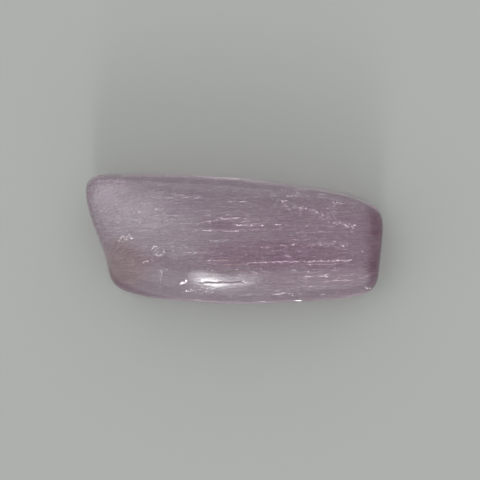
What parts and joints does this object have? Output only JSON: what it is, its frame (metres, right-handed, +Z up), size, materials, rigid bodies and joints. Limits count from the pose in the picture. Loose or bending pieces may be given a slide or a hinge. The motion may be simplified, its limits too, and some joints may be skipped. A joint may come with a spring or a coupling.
{
  "type": "kunzite crystal",
  "caption": "Tumble-polished kunzite crystal: a long, see-through lilac-pink stone with worn prism faces, silky inner threads and a flat underside to lie on.",
  "frame": {"origin": "on the flat resting face, under the middle of the crystal's length and width", "axes": "+X along the crystal's length towards its blunt end, +Y across its width towards the straighter long side, +Z up through its thickness"},
  "size_m": [0.0556, 0.0246, 0.0149],
  "materials": {
    "kunzite": "polished, pale lilac-pink, see-through with silky inclusions"
  },
  "bodies": {
    "root": {"kunzite_crystal": "kunzite"}
  },
  "joints": []
}
